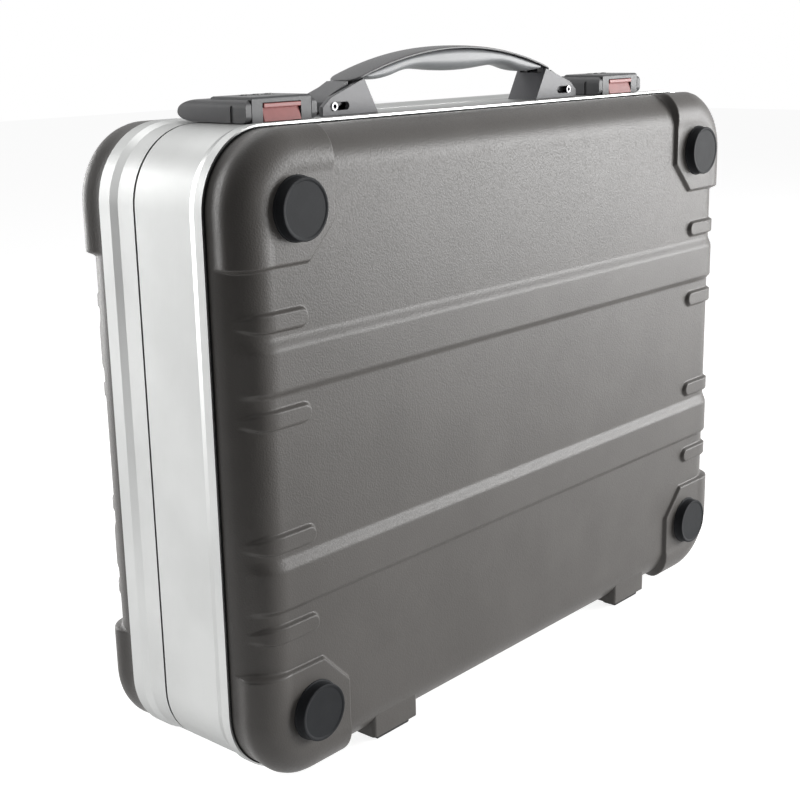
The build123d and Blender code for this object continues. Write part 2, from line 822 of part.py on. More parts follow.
def link_outline(hand):
    """Side view of a handle link, from the eye under the strap to the boss on the tube."""
    end_x = strap_half + 2 * link_side_gap
    Polygon((hand * link_pivot_x, deck_z + link_pivot_z - link_eye_radius),
            (hand * slot_outer_x, deck_z + slot_z - link_boss_radius),
            (hand * (slot_outer_x + link_boss_radius), deck_z + slot_z),
            (hand * (slot_outer_x + link_boss_radius), deck_z + cheek_slope_z - link_eye_radius),
            (hand * (slot_outer_x + link_crown), deck_z + cheek_slope_z + link_crown),
            (hand * end_x, deck_z + strap_end_top - link_crown),
            (hand * end_x, deck_z + strap_end_bottom - link_side_gap),
            (hand * (link_pivot_x + link_eye_radius), deck_z + strap_end_bottom - link_side_gap),
            (hand * link_pivot_x, deck_z + link_pivot_z), align=None)
    with Locations((hand * link_pivot_x, deck_z + link_pivot_z)):
        Circle(link_eye_radius)
    with Locations((hand * slot_outer_x, deck_z + slot_z)):
        Circle(link_boss_radius)


def strap_fall(x):
    """How far the strap's arch lies at x below its middle."""
    arch = strap_top - strap_end_top
    radius = (strap_half ** 2 + arch ** 2) / (2 * arch)
    return radius - (radius ** 2 - x ** 2) ** 0.5


def handle_hole(hand, x, z, radius, half, mode):
    """Round bar or bore through the handle's middle plane."""
    with BuildSketch(facing(handle_mid_y)) as section:
        with Locations((hand * x, deck_z + z)):
            Circle(radius)
    extrude(section.sketch, amount=half, both=True, mode=mode)


def make_link(hand, label):
    """Handle link: narrow at the strap's lugs, wide between the bracket's cheeks."""
    waste = link_half - link_neck / 2
    with BuildPart() as link:
        with BuildSketch(facing(handle_mid_y)):
            link_outline(hand)
        extrude(amount=link_half, both=True)
        for s in (-1, 1):
            with BuildSketch(Plane.XY.offset(deck_z)):
                with Locations((hand * link_pivot_x, handle_mid_y + s * (link_neck + waste) / 2)):
                    Rectangle(2 * link_pivot_inset, waste)
            extrude(amount=strap_top, mode=Mode.SUBTRACT)
        handle_hole(hand, link_pivot_x, link_pivot_z, link_pin_radius + running_fit, link_half, Mode.SUBTRACT)
        handle_hole(hand, slot_outer_x, slot_z, tube_radius, link_half, Mode.SUBTRACT)
    finish(link, label)


def make_tube(hand, label):
    """Tubular pin in the link, with a rolled rim outside each cheek slot."""
    rim_start = bracket_depth / 2 + tube_rim_gap
    with BuildPart() as tube:
        handle_hole(hand, slot_outer_x, slot_z, tube_rim_radius, rim_start + tube_rim, Mode.ADD)
        for s in (-1, 1):
            with BuildSketch(Plane.XY.offset(deck_z)):
                with Locations((hand * slot_outer_x, handle_mid_y + s * rim_start / 2)):
                    Rectangle(4 * tube_rim_radius, rim_start)
            extrude(amount=2 * (slot_z + tube_rim_radius), mode=Mode.SUBTRACT)
        handle_hole(hand, slot_outer_x, slot_z, tube_radius, rim_start + tube_rim, Mode.ADD)
        handle_hole(hand, slot_outer_x, slot_z, tube_bore, rim_start + tube_rim, Mode.SUBTRACT)
    finish(tube, label)


def make_bracket(hand, label):
    """Handle bracket: two cheeks with slots, a web at the inner end and a floor."""
    lean = cheek_lean / cheek_peak_z
    web_foot = cheek_foot_x + web_thickness
    margin = cheek_thickness
    with BuildPart() as bracket:
        with BuildSketch(facing(bracket_back)):
            Polygon((hand * cheek_foot_x, deck_z), (hand * cheek_peak_x, deck_z + cheek_peak_z),
                    (hand * cheek_slope_x, deck_z + cheek_slope_z),
                    (hand * (cheek_end_x - cheek_end_lean), deck_z + cheek_end_z),
                    (hand * cheek_end_x, deck_z), align=None)
        extrude(amount=bracket_depth)
        with BuildSketch(facing(cheek_in_back)):
            Polygon((hand * (cheek_foot_x + bracket_floor_length), deck_z - margin),
                    (hand * (cheek_foot_x + bracket_floor_length), deck_z + bracket_floor),
                    (hand * (web_foot + lean * bracket_floor), deck_z + bracket_floor),
                    (hand * (web_foot + lean * web_top), deck_z + web_top),
                    (hand * (cheek_foot_x - margin), deck_z + web_top),
                    (hand * (cheek_foot_x - margin), deck_z + cheek_peak_z + margin),
                    (hand * (cheek_end_x + margin), deck_z + cheek_peak_z + margin),
                    (hand * (cheek_end_x + margin), deck_z - margin), align=None)
        extrude(amount=cheek_in_back - cheek_in_front, mode=Mode.SUBTRACT)
        with BuildSketch(facing(bracket_back)):
            with Locations((hand * (slot_inner_x + slot_outer_x) / 2, deck_z + slot_z)):
                SlotCenterToCenter(slot_travel, 2 * (tube_radius + pin_clearance))
        extrude(amount=bracket_depth, mode=Mode.SUBTRACT)
    finish(bracket, label)


for hand, hand_name in ((-1, "left"), (1, "right")):
    make_leaf(hand, -1, f"base_hinge_leaf_{hand_name}")
    make_leaf(hand, 1, f"lid_hinge_leaf_{hand_name}")
    make_hinge_pin(hand, f"hinge_pin_{hand_name}")
    make_stay_links(hand, hand_name)
    make_hasp(hand, f"hasp_{hand_name}")
    make_latch_body(hand, f"latch_body_{hand_name}")
    make_button(hand, f"latch_button_{hand_name}")
    make_keeper(hand, f"keeper_{hand_name}")
    for number, place in enumerate(dial_places(hand), 1):
        make_dial(place, f"dial_{hand_name}_{number}")
    make_link(hand, f"handle_link_{hand_name}")
    make_tube(hand, f"handle_tube_{hand_name}")
    make_bracket(hand, f"handle_bracket_{hand_name}")

# Axles of the number wheels
with BuildPart() as dial_axles:
    for hand in (-1, 1):
        with BuildSketch(across(hand * latch_x)):
            with Locations((dial_y, deck_z + dial_z)):
                Circle(dial_axle_radius)
        extrude(amount=dial_axle_half, both=True)
finish(dial_axles, "dial_axles")

# Stub pins that carry the hasp arms; they end under the arms' outer skin
with BuildPart() as hasp_pins:
    for hand in (-1, 1):
        hasp_bore(hand, hasp_half - hasp_skin, hasp_pin_radius, Mode.ADD)
finish(hasp_pins, "hasp_pins")

# Strap of the handle: a thin arch with lugs for the links
with BuildPart() as handle_strap:
    reach = strap_half + strap_corner
    low, high = (deck_z + z - strap_fall(reach) for z in (strap_bottom, strap_top))
    with BuildSketch(facing(handle_mid_y)):
        with BuildLine():
            ThreePointArc((-reach, high), (0, deck_z + strap_top), (reach, high))
            Line((reach, high), (reach, low))
            ThreePointArc((reach, low), (0, deck_z + strap_bottom), (-reach, low))
            Line((-reach, low), (-reach, high))
        make_face()
    extrude(amount=bracket_depth, both=True)
    with BuildSketch(Plane.XY.offset(deck_z)):
        with Locations((0, handle_mid_y)):
            RectangleRounded(2 * strap_half, bracket_depth, strap_corner)
    extrude(amount=2 * strap_top, mode=Mode.INTERSECT)
    for hand in (-1, 1):
        for s in (-1, 1):
            lug_y = handle_mid_y + s * (link_neck / 2 + lug_gap + lug_width / 2)
            with BuildSketch(facing(lug_y)):
                with Locations((hand * link_pivot_x, deck_z + link_pivot_z)):
                    Circle(link_eye_radius)
                Polygon((hand * lug_inner_x, deck_z + link_pivot_z),
                        (hand * lug_outer_x, deck_z + link_pivot_z),
                        (hand * lug_outer_x, deck_z + strap_middle_z - strap_fall(lug_outer_x)),
                        (hand * lug_inner_x, deck_z + strap_middle_z - strap_fall(lug_inner_x)),
                        align=None)
            extrude(amount=lug_width / 2, both=True)
        handle_hole(hand, link_pivot_x, link_pivot_z, link_pin_radius, bracket_depth / 2, Mode.SUBTRACT)
finish(handle_strap, "handle_strap")

# Soft grip under the strap, thick in the middle, waisted beside it and thick again before its ends
with BuildPart() as handle_grip:
    end_top = strap_bottom - strap_fall(grip_half)
    with BuildSketch(facing(handle_mid_y)):
        with BuildLine():
            ThreePointArc((-grip_half, deck_z + end_top), (0, deck_z + strap_bottom),
                          (grip_half, deck_z + end_top))
            Line((grip_half, deck_z + end_top), (grip_half, deck_z + grip_end))
            Spline((grip_half, deck_z + grip_end), (grip_heel_x, deck_z + grip_heel),
                   (grip_waist_x, deck_z + grip_waist), (0, deck_z + grip_bulge),
                   (-grip_waist_x, deck_z + grip_waist), (-grip_heel_x, deck_z + grip_heel),
                   (-grip_half, deck_z + grip_end))
            Line((-grip_half, deck_z + grip_end), (-grip_half, deck_z + end_top))
        make_face()
    extrude(amount=bracket_depth / 2 - grip_inset, both=True)
finish(handle_grip, "handle_grip")

# Pins that join the links to the strap's lugs
with BuildPart() as handle_pins:
    for hand in (-1, 1):
        handle_hole(hand, link_pivot_x, link_pivot_z, link_pin_radius,
                    link_neck / 2 + lug_gap + lug_width, Mode.ADD)
finish(handle_pins, "handle_pins")
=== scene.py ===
import json
import math

import bmesh
import bpy
from mathutils import Matrix, Vector


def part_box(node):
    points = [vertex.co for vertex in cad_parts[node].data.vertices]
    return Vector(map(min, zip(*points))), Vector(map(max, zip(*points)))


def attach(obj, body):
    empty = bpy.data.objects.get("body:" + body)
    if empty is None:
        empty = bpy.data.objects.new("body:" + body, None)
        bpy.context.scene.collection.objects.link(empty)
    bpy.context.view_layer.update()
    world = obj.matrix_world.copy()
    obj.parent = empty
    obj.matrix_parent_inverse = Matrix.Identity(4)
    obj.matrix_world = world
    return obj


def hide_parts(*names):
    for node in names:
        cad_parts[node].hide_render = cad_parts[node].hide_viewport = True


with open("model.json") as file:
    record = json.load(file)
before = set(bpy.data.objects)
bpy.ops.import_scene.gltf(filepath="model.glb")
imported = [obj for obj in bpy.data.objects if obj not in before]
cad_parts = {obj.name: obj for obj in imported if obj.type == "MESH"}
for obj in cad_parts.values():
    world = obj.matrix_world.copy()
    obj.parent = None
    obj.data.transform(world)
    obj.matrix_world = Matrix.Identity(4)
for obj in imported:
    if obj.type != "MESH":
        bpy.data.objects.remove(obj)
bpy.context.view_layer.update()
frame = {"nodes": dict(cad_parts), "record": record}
nodes = frame["nodes"]
record = frame["record"]
slotOf = {part["node"]: part["material_slot"] for part in record["subparts"]}
bodyOf = {node: body for body, held in record["behaviour"]["bodies"].items() for node in held}
mm = 0.001
print("frame loaded:", len(nodes), "nodes")


def hexColour(text):  # sRGB hex to linear RGBA
    values = [int(text[i:i + 2], 16) / 255 for i in (0, 2, 4)]
    return [v / 12.92 if v <= 0.04045 else ((v + 0.055) / 1.055) ** 2.4 for v in values] + [1.0]


def addNode(tree, kind, settings=None, **links):  # a link is an input's name, or _ and its number
    node = tree.nodes.new(kind)
    for key, value in (settings or {}).items():
        setattr(node, key, value)
    for key, value in links.items():
        socket = node.inputs[int(key[1:])] if key[1:].isdigit() else node.inputs[key.replace("_", " ")]
        if isinstance(value, bpy.types.NodeSocket):
            tree.links.new(value, socket)
        else:
            socket.default_value = value
    return node


# Camera: from the front left and a little above, as in the photograph
camera = {
    "place": (-0.7119, -0.5873, 0.4140),
    "azimuth": -48.4426,
    "elevation": 14.6272,
    "roll": -1.17415,
    "lens": 63.36,
    "sensor": 36.0,
}
a, e, r = (math.radians(camera[key]) for key in ("azimuth", "elevation", "roll"))
back = Vector((math.sin(a) * math.cos(e), -math.cos(a) * math.cos(e), math.sin(e)))
right = (-back).cross(Vector((0, 0, 1))).normalized()
up = right.cross(-back)
rolledRight = right * math.cos(r) + up * math.sin(r)
rolledUp = up * math.cos(r) - right * math.sin(r)
cameraData = bpy.data.cameras.new("camera")
cameraObject = bpy.data.objects.new("camera", cameraData)
bpy.context.scene.collection.objects.link(cameraObject)
turn = Matrix((rolledRight, rolledUp, back)).transposed().to_4x4()
cameraObject.matrix_world = Matrix.Translation(camera["place"]) @ turn
cameraData.lens = camera["lens"]
cameraData.sensor_width = camera["sensor"]
cameraData.clip_start = 0.01
bpy.context.scene.camera = cameraObject
bpy.context.scene.view_settings.view_transform = "Standard"
print("camera placed")


# Finishes. Patch, grain and depth are in millimetres: patch is the size of the cloudy tone changes, grain
# that of the surface pattern and depth how deep it is. Along stretches the pattern, gloss is the specular
# level and edge the specular tint.
looks = {
    "frame": {"name": "anodisedAluminium", "base": "cecfce", "tone": "c6c7c6", "rough": (0.34, 0.44), "metal": 1.0,
              "patch": 60, "pattern": "brushed", "grain": 0.25, "depth": 0.02, "along": (0.02, 1.0, 0.02),
              "edge": "b8b8b8"},
    "shell": {"name": "grainedAbs", "base": "5e5b58", "tone": "575451", "rough": (0.38, 0.5), "metal": 0.0,
              "patch": 45, "pattern": "pebble", "grain": 1.0, "depth": 0.07, "gloss": 0.4},
    "seal": {"name": "sealRubber", "base": "101011", "tone": "171718", "rough": (0.6, 0.75), "metal": 0.0,
             "patch": 20, "pattern": "fine", "grain": 0.5, "depth": 0.03, "gloss": 0.25},
    "bumper": {"name": "bumperRubber", "base": "202225", "tone": "1a1c1f", "rough": (0.58, 0.7), "metal": 0.0,
               "patch": 12, "pattern": "fine", "grain": 0.45, "depth": 0.03, "gloss": 0.22},
    "foot_pad": {"name": "footRubber", "base": "2a2a2b", "tone": "1f1f20", "rough": (0.65, 0.8), "metal": 0.0,
                 "patch": 10, "pattern": "fine", "grain": 0.4, "depth": 0.04},
    "rivet": {"name": "rivetAluminium", "base": "c4c6c8", "tone": "b4b6b8", "rough": (0.3, 0.42), "metal": 1.0,
              "patch": 6, "pattern": "fine", "grain": 0.3, "depth": 0.01},
    "hinge": {"name": "brushedHingeSteel", "base": "b2b2b2", "tone": "a2a2a3", "rough": (0.3, 0.42), "metal": 1.0,
              "patch": 18, "pattern": "brushed", "grain": 0.2, "depth": 0.015, "along": (0.03, 1.0, 1.0)},
    "stay": {"name": "brushedStaySteel", "base": "b0b0b2", "tone": "a2a2a5", "rough": (0.3, 0.42), "metal": 1.0,
             "patch": 18, "pattern": "brushed", "grain": 0.2, "depth": 0.015, "along": (1.0, 1.0, 0.03)},
    "latch_body": {"name": "latchAbs", "base": "434446", "tone": "3c3d3f", "rough": (0.4, 0.52), "metal": 0.0,
                   "patch": 15, "pattern": "pebble", "grain": 0.55, "depth": 0.02},
    "hasp": {"name": "haspAbs", "base": "505052", "tone": "49494b", "rough": (0.42, 0.54), "metal": 0.0,
             "patch": 15, "pattern": "pebble", "grain": 0.55, "depth": 0.02},
    "button": {"name": "buttonAbs", "base": "a24f4b", "tone": "964642", "rough": (0.36, 0.46), "metal": 0.0,
               "patch": 10, "pattern": "fine", "grain": 0.5, "depth": 0.012},
    "dial": {"name": "dialAbs", "base": "2c2c2e", "tone": "252527", "rough": (0.32, 0.42), "metal": 0.0,
             "patch": 6, "pattern": "fine", "grain": 0.4, "depth": 0.01},
    "pin": {"name": "groundPinSteel", "base": "aeaeae", "tone": "a0a0a0", "rough": (0.25, 0.35), "metal": 1.0,
            "patch": 8, "pattern": "brushed", "grain": 0.15, "depth": 0.008, "along": (1.0, 0.05, 1.0)},
    "keeper": {"name": "keeperSteel", "base": "b2b2b4", "tone": "a4a4a7", "rough": (0.3, 0.42), "metal": 1.0,
               "patch": 12, "pattern": "brushed", "grain": 0.2, "depth": 0.012, "along": (0.04, 1.0, 1.0)},
    "bracket": {"name": "bracketAbs", "base": "646467", "tone": "5c5c5f", "rough": (0.4, 0.5), "metal": 0.0,
                "patch": 18, "pattern": "pebble", "grain": 0.5, "depth": 0.015},
    "tube": {"name": "turnedTubeSteel", "base": "8e8e90", "tone": "848486", "rough": (0.3, 0.4), "metal": 1.0,
             "patch": 5, "pattern": "fine", "grain": 0.2, "depth": 0.005},
    "link": {"name": "linkAbs", "base": "5c5c5f", "tone": "545457", "rough": (0.36, 0.46), "metal": 0.0,
             "patch": 15, "pattern": "pebble", "grain": 0.5, "depth": 0.015},
    "strap": {"name": "strapAbs", "base": "505052", "tone": "49494b", "rough": (0.4, 0.5), "metal": 0.0,
              "patch": 25, "pattern": "pebble", "grain": 0.5, "depth": 0.015},
    "grip": {"name": "gripRubber", "base": "8e9092", "tone": "858789", "rough": (0.36, 0.46), "metal": 0.0,
             "patch": 25, "pattern": "fine", "grain": 0.6, "depth": 0.015},
    "digit": {"name": "digitPaint", "base": "e8e8e6", "tone": "dcdcd9", "rough": (0.45, 0.55), "metal": 0.0,
              "patch": 3, "pattern": "fine", "grain": 0.2, "depth": 0.005},
}


def makeFinish(look):
    made = bpy.data.materials.new(look["name"])
    made.use_nodes = True
    tree = made.node_tree
    shader = tree.nodes["Principled BSDF"]
    shader.inputs["Metallic"].default_value = look["metal"]
    shader.inputs["Specular IOR Level"].default_value = look.get("gloss", 0.5)
    shader.inputs["Specular Tint"].default_value = hexColour(look.get("edge", "ffffff"))
    place = addNode(tree, "ShaderNodeTexCoord").outputs["Object"]
    cloud = addNode(tree, "ShaderNodeTexNoise", Vector=place, Scale=1 / (look["patch"] * mm), Detail=4.0)
    share = addNode(tree, "ShaderNodeMapRange", Value=cloud.outputs[0], From_Min=0.35, From_Max=0.65)
    tone = addNode(tree, "ShaderNodeMix", {"data_type": "RGBA"}, _0=share.outputs[0],
                   _6=hexColour(look["base"]), _7=hexColour(look["tone"]))
    tree.links.new(tone.outputs[2], shader.inputs["Base Color"])
    stretched = addNode(tree, "ShaderNodeMapping", Vector=place, Scale=look.get("along", (1.0, 1.0, 1.0)))
    scale = 1 / (look["grain"] * mm)
    if look["pattern"] == "pebble":  # fine leather-like grain of moulded plastic
        grain = addNode(tree, "ShaderNodeTexVoronoi", {"feature": "SMOOTH_F1"}, Vector=stretched.outputs[0],
                        Scale=scale, Smoothness=0.6)
    else:
        grain = addNode(tree, "ShaderNodeTexNoise", Vector=stretched.outputs[0], Scale=scale, Detail=3.0)
    rough = addNode(tree, "ShaderNodeMapRange", Value=grain.outputs[0], From_Min=0.2, From_Max=0.8,
                    To_Min=look["rough"][0], To_Max=look["rough"][1])
    tree.links.new(rough.outputs[0], shader.inputs["Roughness"])
    bump = addNode(tree, "ShaderNodeBump", Height=grain.outputs[0], Distance=look["depth"] * mm, Strength=1.0)
    tree.links.new(bump.outputs[0], shader.inputs["Normal"])
    return made


finishes = {slot: makeFinish(look) for slot, look in looks.items()}
for name, node in nodes.items():
    node.data.materials.clear()
    node.data.materials.append(finishes[slotOf[name]])
print("finishes made:", len(finishes))


def newPiece(name, mesh, *standsFor):  # rides and is finished as the first node that it stands for
    piece = bpy.data.objects.new(name, mesh)
    bpy.context.scene.collection.objects.link(piece)
    if not mesh.materials:
        mesh.materials.append(finishes[slotOf[standsFor[0]]])
    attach(piece, bodyOf[standsFor[0]])
    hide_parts(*standsFor)
    return piece


def meshFrom(name, shape):
    mesh = bpy.data.meshes.new(name)
    shape.to_mesh(mesh)
    shape.free()
    for face in mesh.polygons:
        face.use_smooth = True
    return mesh


def plainCopy(piece):  # the piece with its modifiers worked in, as a mesh of its own
    graph = bpy.context.evaluated_depsgraph_get()
    return bpy.data.meshes.new_from_object(piece.evaluated_get(graph))


# Formed shells, in millimetres and degrees, with heights from the middle of the face
shellForm = {
    "raise": 2.5,
    "padBulge": 2.6,  # how much prouder a corner pad is halfway round the edge
    "reliefEnd": 63.0,  # ribs and bands run out where the edge has turned this far from the face
    "reliefFade": 42.0,
    "padEnd": 86.0,
    "padFade": 30.0,
    "cornerRadius": 42.0,
    "edgeRound": 22.0,
    "wall": 2.5,
    "frameGap": 2.5,  # from the outside of the shell to its part inside the frame
    "flangeWidth": 8.0,
    "flangeDepth": 2.5,
    "frameEdge": 42.0,
    "lip": 0.5,
    "caseInset": 2.0,
    "bands": ((43.4, 47.6, 68.0, 76.0), (-77.5, -73.5, -53.0, -45.0)),
    "ribs": (84.0, 32.0, -37.0, -89.0),
    "ribWidth": 10.0,
    "ribLength": 48.0,
    "padReach": 70.5,
    "padChamfer": 20.0,
    "softness": 1.6,
    "fineStep": 0.62,
    "wideStep": 8.0,
    "cornerSteps": 22,
    "roundSteps": 16,
    "flatSteps": 12,
}


def ease(t):
    t = min(max(t, 0.0), 1.0)
    return t * t * (3 - 2 * t)


def shellLift(x, z, turn, width, height):  # how proud bands, ribs and pads are, where the surface has turned
    form = shellForm
    soft = form["softness"]
    fade = ease((form["reliefEnd"] - turn) / form["reliefFade"])
    lift = 0.0
    for low, lowTop, highTop, high in form["bands"]:
        share = min(ease((z - low) / (lowTop - low)), ease((high - z) / (high - highTop)))
        lift = max(lift, form["raise"] * share * fade)
    radius = form["ribWidth"] / 2
    for place in form["ribs"]:
        short = max(width + form["caseInset"] - form["ribLength"] + radius - abs(x), 0.0)
        share = ease((radius * (0.4 + 0.6 * fade) + soft / 2 - math.hypot(short, z - place)) / soft)
        lift = max(lift, form["raise"] * share * fade)
    proud = form["raise"] + form["padBulge"] * math.sin(math.radians(2 * turn))
    proud *= ease((form["padEnd"] - turn) / form["padFade"])
    slope = soft * max(1.0, proud / form["raise"])
    acrossX = abs(x) - (width + form["caseInset"] - form["padReach"])
    upZ = abs(z) - (height + form["caseInset"] - form["padReach"])
    inside = min(acrossX, upZ, (acrossX + upZ - form["padChamfer"]) / math.sqrt(2))
    return max(lift, proud * ease((inside + slope - soft / 2) / slope))


def stations(limit, fineSpans):  # grid lines, close together only where the relief changes
    spans = sorted((low, high) for low, high in fineSpans)
    lines = [-limit]
    while lines[-1] < limit - 1e-6:
        here = lines[-1]
        inside = any(low - 1e-6 <= here < high - 1e-6 for low, high in spans)
        ahead = [low for low, high in spans if low > here + 1e-6]
        step = shellForm["fineStep"] if inside else shellForm["wideStep"]
        stop = min(ahead + [limit])
        gap = stop - here
        lines.append(here + gap / max(1, math.ceil(gap / step)) if gap < 4 * step else here + step)
    return lines


def roundRim(linesX, linesZ, steps):  # grid places round the outermost lines, fanned out at the corners
    countX, countZ = len(linesX), len(linesZ)
    rim = [(i, 0, 0, -1) for i in range(countX)]

    def fan(i, j, start):
        turns = [math.radians(start + 90 * k / steps) for k in range(1, steps)]
        return [(i, j, math.cos(t), math.sin(t)) for t in turns]

    rim += fan(countX - 1, 0, -90)
    rim += [(countX - 1, j, 1, 0) for j in range(countZ)]
    rim += fan(countX - 1, countZ - 1, 0)
    rim += [(i, countZ - 1, 0, 1) for i in reversed(range(countX))]
    rim += fan(0, countZ - 1, 90)
    rim += [(0, j, -1, 0) for j in reversed(range(countZ))]
    return rim + fan(0, 0, 180)


def joinLoops(shape, loops):
    for first, second in zip(loops, loops[1:]):
        for k in range(len(first)):
            n = (k + 1) % len(first)
            shape.faces.new((first[k], first[n], second[n], second[k]))


def shellBox(name):  # half width, half height and middle height of a shell's outside
    low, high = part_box(name)
    return (high.x - low.x) / 2 / mm, (high.z - low.z) / 2 / mm, (high.z + low.z) / 2 / mm


def makeShell(name, side):
    form = shellForm
    width, height, middle = shellBox(name)
    low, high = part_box(name)
    depths = sorted(abs(v) / mm for v in (low.y, high.y))
    backDepth, faceDepth = depths[0], depths[1] - form["raise"]
    corner, bend, wall = form["cornerRadius"], form["edgeRound"], form["wall"]
    boxX, boxZ = width - corner, height - corner
    reach = 2 * form["softness"]
    padX = width + form["caseInset"] - form["padReach"]
    padZ = height + form["caseInset"] - form["padReach"]
    spansX = [(s * padX - reach, s * padX + reach) for s in (-1, 1)] + [(padX, boxX), (-boxX, -padX)]
    ribHalf = form["ribWidth"] / 2 + reach
    spansZ = [(place - ribHalf, place + ribHalf) for place in form["ribs"]]
    spansZ += [(edge[0] - 1, edge[1] + 1) for band in form["bands"] for edge in (band[:2], band[2:])]
    spansZ += [(padZ - 2 * reach, boxZ), (-boxZ, 2 * reach - padZ)]
    linesX, linesZ = stations(boxX, spansX), stations(boxZ, spansZ)
    rim = roundRim(linesX, linesZ, form["cornerSteps"])
    shape = bmesh.new()

    def vertex(x, z, depth, turn, outX=0.0, outZ=0.0):
        lift = 0.0 if turn is None else shellLift(x, z, turn, width, height)
        t = math.radians(turn or 0.0)
        x, z = x + outX * lift * math.sin(t), z + outZ * lift * math.sin(t)
        return shape.verts.new((x * mm, side * (depth + lift * math.cos(t)) * mm, (middle + z) * mm))

    def loop(offset, depth, turn):
        return [vertex(linesX[i] + cx * offset, linesZ[j] + cz * offset, depth, turn, cx, cz)
                for i, j, cx, cz in rim]

    face = [[vertex(x, z, faceDepth, 0.0) for z in linesZ] for x in linesX]
    for i in range(len(linesX) - 1):
        for j in range(len(linesZ) - 1):
            shape.faces.new((face[i][j], face[i + 1][j], face[i + 1][j + 1], face[i][j + 1]))
    flat = corner - bend
    loops = [loop(flat * k / form["flatSteps"], faceDepth, 0.0) for k in range(form["flatSteps"] + 1)]
    for k in range(1, form["roundSteps"] + 1):
        turn = 90.0 * k / form["roundSteps"]
        t = math.radians(turn)
        loops.append(loop(flat + bend * math.sin(t), faceDepth - bend * (1 - math.cos(t)), turn))
    inFrame = corner - form["frameGap"]
    lipDepth = form["frameEdge"] + form["lip"]
    flange = inFrame - form["flangeWidth"]
    inside = [(corner, lipDepth), (inFrame, lipDepth), (inFrame, backDepth), (flange, backDepth),
              (flange, backDepth + form["flangeDepth"]), (inFrame - wall, backDepth + form["flangeDepth"]),
              (inFrame - wall, lipDepth + 0.5)]
    for k in range(form["roundSteps"] + 1):
        t = math.pi / 2 * (1 - k / form["roundSteps"])
        inside.append((flat + (bend - wall) * math.sin(t), faceDepth - bend + (bend - wall) * math.cos(t)))
    inside.append((0.0, faceDepth - wall))
    loops += [loop(offset, depth, None) for offset, depth in inside]
    joinLoops(shape, loops)
    bmesh.ops.remove_doubles(shape, verts=shape.verts, dist=1e-6)
    bmesh.ops.dissolve_degenerate(shape, edges=shape.edges, dist=1e-6)
    bmesh.ops.holes_fill(shape, edges=[edge for edge in shape.edges if edge.is_boundary], sides=0)
    bmesh.ops.recalc_face_normals(shape, faces=shape.faces)
    mesh = meshFrom(name, shape)
    mesh.set_sharp_from_angle(angle=math.radians(60))
    newPiece(name + "Formed", mesh, name)


# Seals, in millimetres: a thin wall inside the frame with a lip that stands a little past the shell
sealForm = {"lipOut": 0.9, "lipRound": 0.15, "slack": 0.1, "thickness": 1.1}


def makeSeal(name, shell, side):
    form = shellForm
    width, height, middle = shellBox(shell)
    low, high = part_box(name)
    backDepth = min(abs(low.y), abs(high.y)) / mm
    corner = form["cornerRadius"]
    boxX, boxZ = width - corner, height - corner
    rim = roundRim([-boxX, boxX], [-boxZ, boxZ], 2 * form["cornerSteps"])
    edge = form["frameEdge"]
    lip = corner + sealForm["lipOut"]
    inner = corner - form["frameGap"] + sealForm["slack"]
    outer = inner + sealForm["thickness"]
    front, bevel = edge + form["lip"], sealForm["lipRound"]
    section = [(lip, edge), (lip, front - bevel), (lip - bevel, front), (inner, front),
               (inner, backDepth), (outer, backDepth), (outer, edge)]
    places = [((-boxX, boxX)[i], (-boxZ, boxZ)[j], cx, cz) for i, j, cx, cz in rim]
    shape = bmesh.new()
    loops = []
    for offset, depth in section + section[:1]:
        loops.append([shape.verts.new(((x + cx * offset) * mm, side * depth * mm,
                                       (middle + z + cz * offset) * mm)) for x, z, cx, cz in places])
    joinLoops(shape, loops)
    bmesh.ops.remove_doubles(shape, verts=shape.verts, dist=1e-6)
    bmesh.ops.recalc_face_normals(shape, faces=shape.faces)
    mesh = meshFrom(name, shape)
    mesh.set_sharp_from_angle(angle=math.radians(30))
    newPiece(name + "Lipped", mesh, name)


makeShell("base_shell", -1)
makeShell("lid_shell", 1)
makeSeal("base_shell_seal", "base_shell", -1)
makeSeal("lid_shell_seal", "lid_shell", 1)
print("shells and seals formed")


# Bumpers: turned rubber discs with a flat face, on a thin flange
bumperForm = {"radius": 16.6, "edge": 0.6, "flange": 17.5, "flangeHeight": 0.7, "step": 14.6,
              "stepDepth": 0.3, "dish": 0.35, "dishFlat": 7.0, "height": 6.5, "stemRadius": 4.0,
              "stemDepth": 5.0, "segments": 96}


def makeBumper(name, side):
    form = bumperForm
    low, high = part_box(name)
    x, z = (low.x + high.x) / 2, (low.z + high.z) / 2
    face = max(abs(low.y), abs(high.y)) / mm
    seat = face - form["height"]
    radius, edge, step = form["radius"], form["edge"], form["step"]
    profile = [(0.0, face - form["dish"]), (form["dishFlat"], face - form["dish"]),
               (step - 0.5, face - form["stepDepth"]),
               (step, face - form["stepDepth"]), (step + 0.3, face)]
    for k in range(5):
        t = math.pi / 2 * k / 4
        profile.append((radius - edge + edge * math.sin(t), face - edge * (1 - math.cos(t))))
    lip = seat + form["flangeHeight"]
    profile += [(radius, lip + 0.3), (radius + 0.3, lip), (form["flange"] - 0.3, lip),
                (form["flange"], lip - 0.3), (form["flange"], seat), (form["stemRadius"], seat),
                (form["stemRadius"], seat - form["stemDepth"]), (0.0, seat - form["stemDepth"])]
    shape = bmesh.new()
    turns = [2 * math.pi * k / form["segments"] for k in range(form["segments"])]
    joinLoops(shape, [[shape.verts.new((x + r * mm * math.cos(t), side * depth * mm, z + r * mm * math.sin(t)))
                       for t in turns] for r, depth in profile])
    bmesh.ops.remove_doubles(shape, verts=shape.verts, dist=1e-6)
    bmesh.ops.dissolve_degenerate(shape, edges=shape.edges, dist=1e-6)
    bmesh.ops.recalc_face_normals(shape, faces=shape.faces)
    mesh = meshFrom(name, shape)
    mesh.set_sharp_from_angle(angle=math.radians(50))
    newPiece(name + "Turned", mesh, name)


